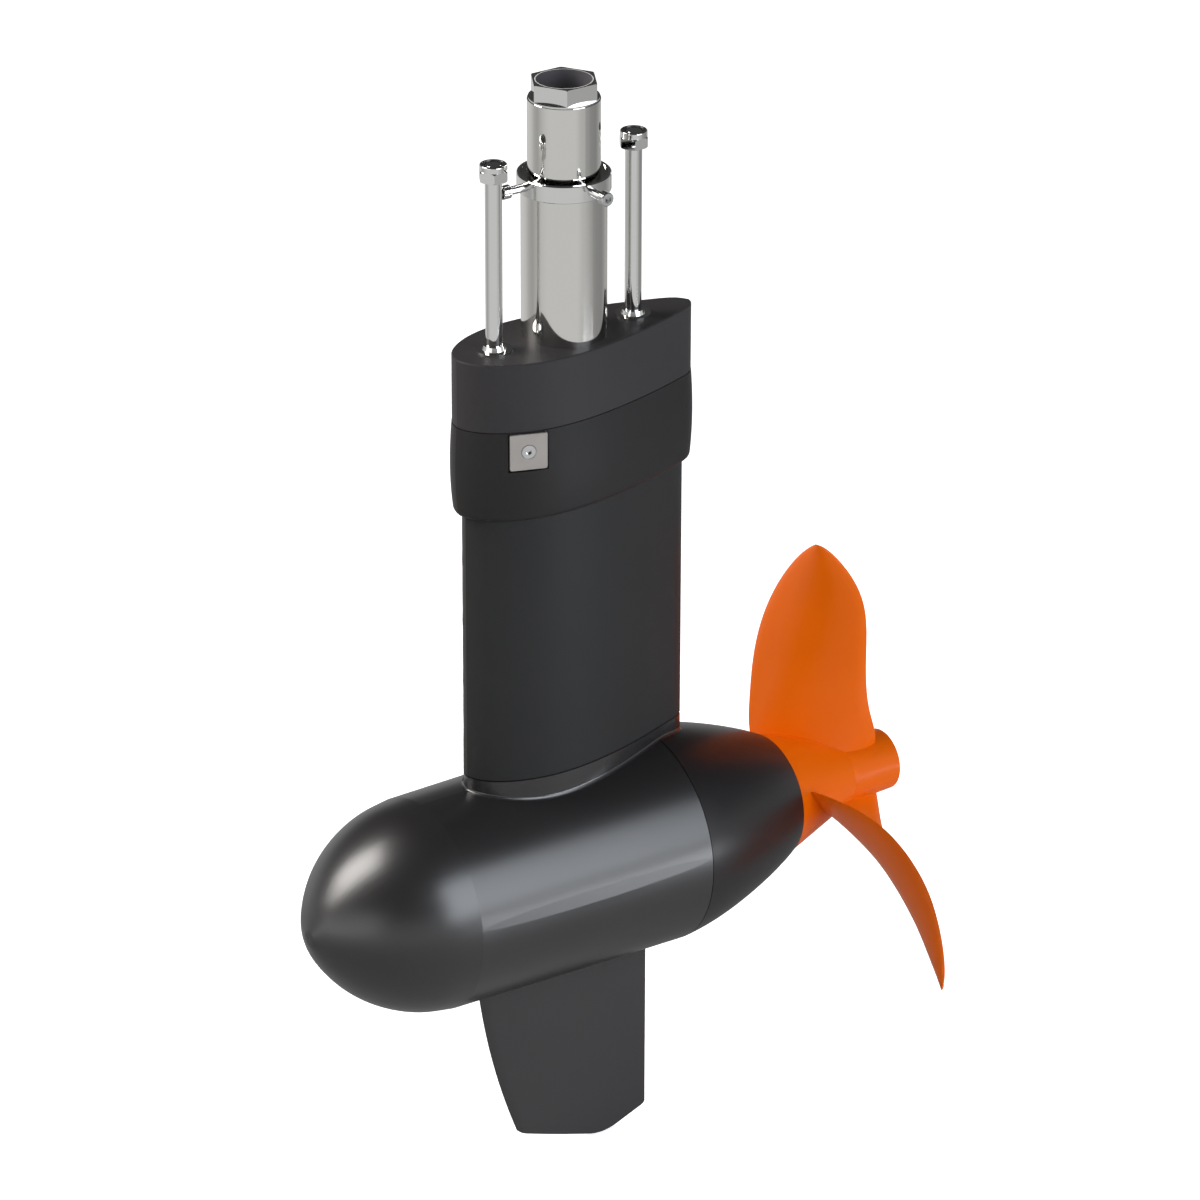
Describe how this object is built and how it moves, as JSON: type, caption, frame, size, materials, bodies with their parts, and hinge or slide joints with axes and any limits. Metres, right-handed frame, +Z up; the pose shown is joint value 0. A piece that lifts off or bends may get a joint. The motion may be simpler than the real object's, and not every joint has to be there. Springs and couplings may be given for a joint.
{
  "type": "pod drive electric boat motor",
  "caption": "Fixed electric pod drive for a boat: hull block with stem and studs, faired strut, motor pod with skeg fin, and a propeller that turns freely.",
  "frame": {"origin": "on the hull face (top of the hull block), where the stem tube's axis crosses it", "axes": "+Z up along the stem tube into the boat, +Y aft along the pod to the propeller, +X to the side with the anode plate"},
  "size_m": [0.3359, 0.5064, 0.8263],
  "materials": {
    "block_black": "fine textured, satin black",
    "head_black": "smooth satin black",
    "strut_grey": "satin black anodised",
    "pod_grey": "satin dark grey anodised",
    "fin_black": "matte dark grey",
    "prop_orange": "gloss orange",
    "cap_orange": "satin orange",
    "stainless_turned": "fine turned",
    "stainless_bright": "bright drawn",
    "fastener_steel": "machined",
    "bush_steel": "machined",
    "insert_dark": "dark moulded",
    "anode_zinc": "satin cast",
    "gasket_black": "matte black",
    "alloy_machined": "machined",
    "core_steel": "laminated, oiled",
    "copper_wire": "enamelled copper",
    "magnet_nickel": "nickel plated",
    "bearing_steel": "ground",
    "board_green": "matte green",
    "module_black": "moulded black",
    "can_grey": "sleeved",
    "seal_rubber": "matte black"
  },
  "bodies": {
    "drive_body": {"hull_block": "block_black", "stem_tube": "stainless_turned", "cable_tube": "stainless_turned", "hex_bush": "stainless_bright", "clamp_collar": "stainless_bright", "collar_screws": "fastener_steel", "hull_studs": "stainless_bright", "stud_nuts": "fastener_steel", "nut_inserts": "insert_dark", "stud_bushes": "bush_steel", "strut_head": "head_black", "anode_plate": "anode_zinc", "anode_screw": "fastener_steel", "anchor_plate": "alloy_machined", "strut_bolts": "fastener_steel", "strut": "strut_grey", "strut_gasket": "gasket_black", "pod_body": "pod_grey", "pod_bolts": "fastener_steel", "nose_cap": "pod_grey", "nose_o_ring": "seal_rubber", "tail_cone": "pod_grey", "tail_o_ring": "seal_rubber", "skeg_fin": "fin_black", "fin_bolts": "fastener_steel", "stator_carrier": "alloy_machined", "carrier_screws": "fastener_steel", "stator_core": "core_steel", "stator_windings": "copper_wire", "front_bearing_outer": "bearing_steel", "rear_bearing_outer": "bearing_steel", "bearing_circlips": "fastener_steel", "shaft_seal": "seal_rubber", "heat_sink_plate": "alloy_machined", "controller_board": "board_green", "board_standoffs": "bush_steel", "power_modules": "module_black", "link_capacitors": "can_grey"},
    "propeller_set": {"prop_shaft": "stainless_turned", "shaft_key": "fastener_steel", "bell_circlip": "fastener_steel", "shaft_spacer": "alloy_machined", "rotor_bell": "core_steel", "rotor_magnets": "magnet_nickel", "front_bearing_inner": "bearing_steel", "front_bearing_balls": "bearing_steel", "rear_bearing_inner": "bearing_steel", "rear_bearing_balls": "bearing_steel", "propeller": "prop_orange", "hub_cap": "cap_orange", "prop_nut": "fastener_steel", "prop_washer": "fastener_steel", "thrust_washer": "insert_dark", "drive_pin": "fastener_steel"}
  },
  "joints": [
    {"name": "propeller_spin", "type": "hinge", "parent": "drive_body", "child": "propeller_set", "pos_m": [0, 0.2, -0.4077], "axis": [0, 1, 0], "continuous": true}
  ]
}
